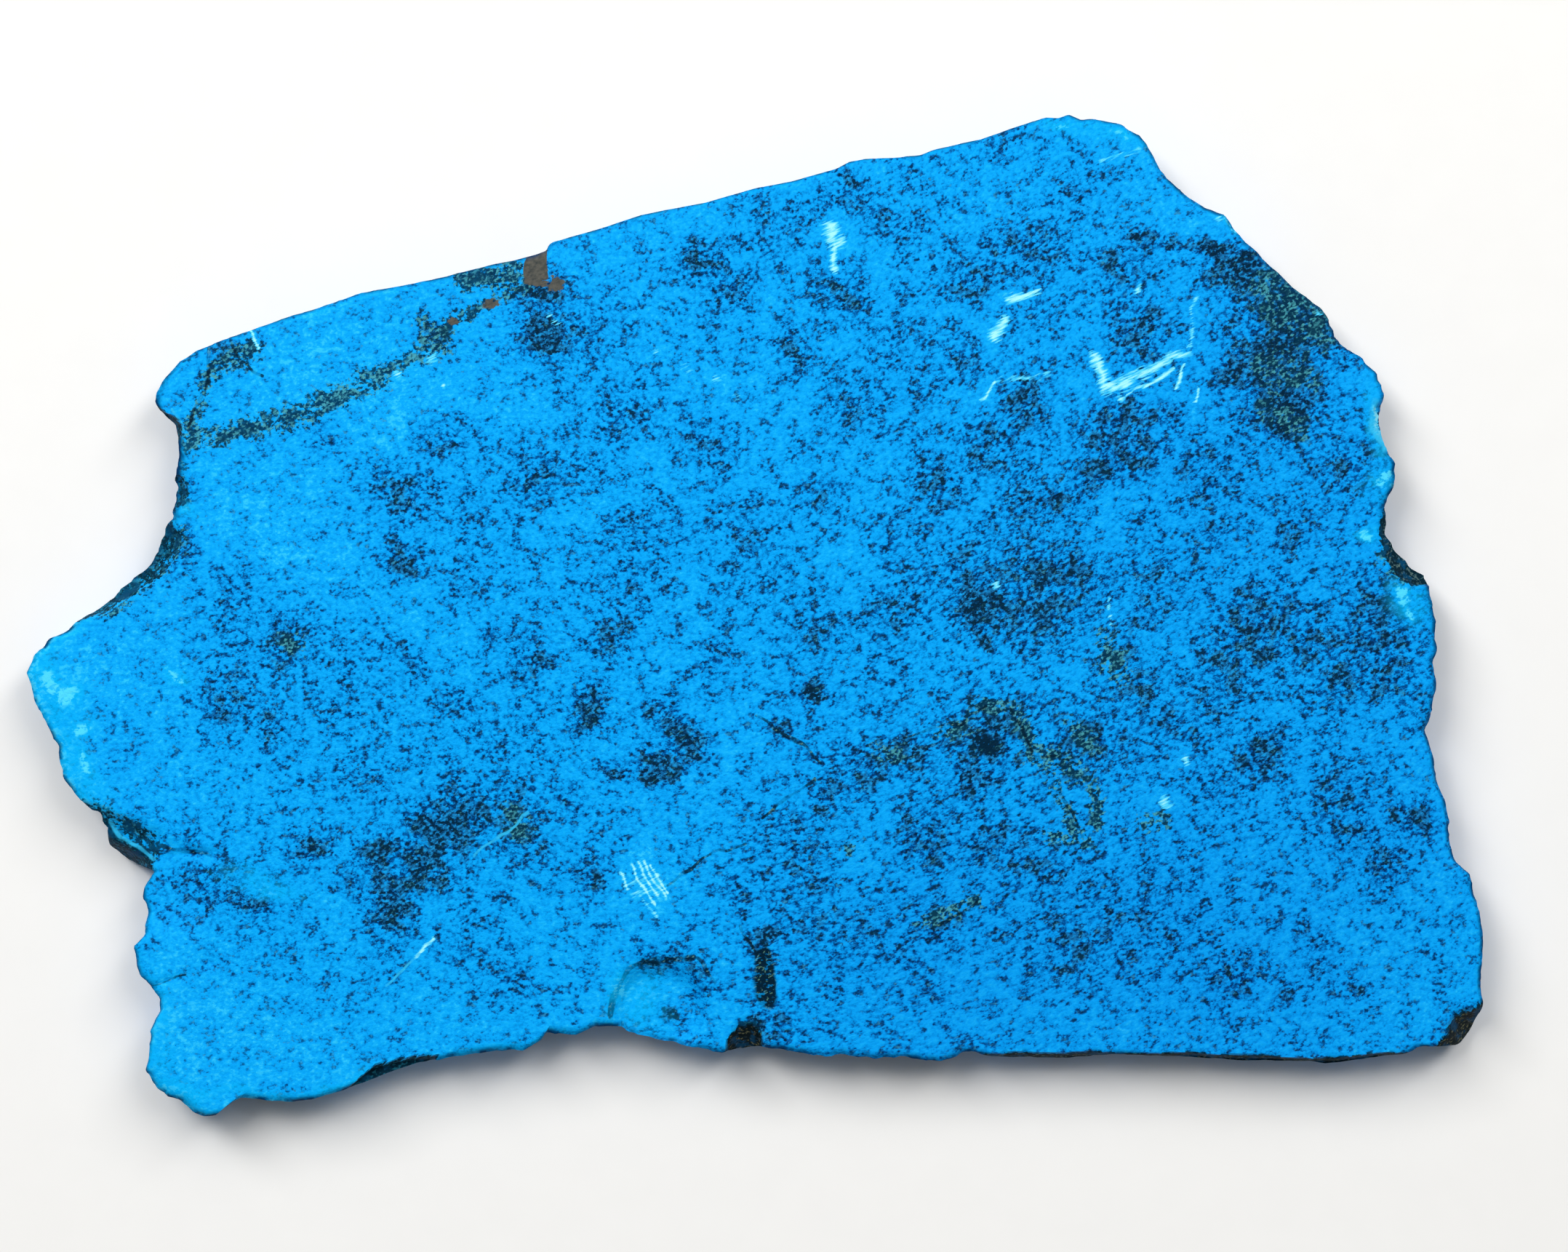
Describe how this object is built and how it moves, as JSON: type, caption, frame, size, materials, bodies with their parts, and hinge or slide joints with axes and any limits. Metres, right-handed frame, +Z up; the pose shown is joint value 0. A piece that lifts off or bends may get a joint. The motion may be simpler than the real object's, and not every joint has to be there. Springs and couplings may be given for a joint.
{
  "type": "turquoise slab",
  "caption": "Flat slice of turquoise stone with an irregular broken rim, one long smooth edge, chipped corners and a flat underside to rest on.",
  "frame": {"origin": "on the surface that the slab rests on, under the centre of its bounding box", "axes": "+X along the slab's length, +Z up out of its dressed upper face, +Y towards the long sloping edge"},
  "size_m": [0.126, 0.0866, 0.006],
  "materials": {
    "turquoise": "satin"
  },
  "bodies": {
    "root": {"slab": "turquoise"}
  },
  "joints": []
}
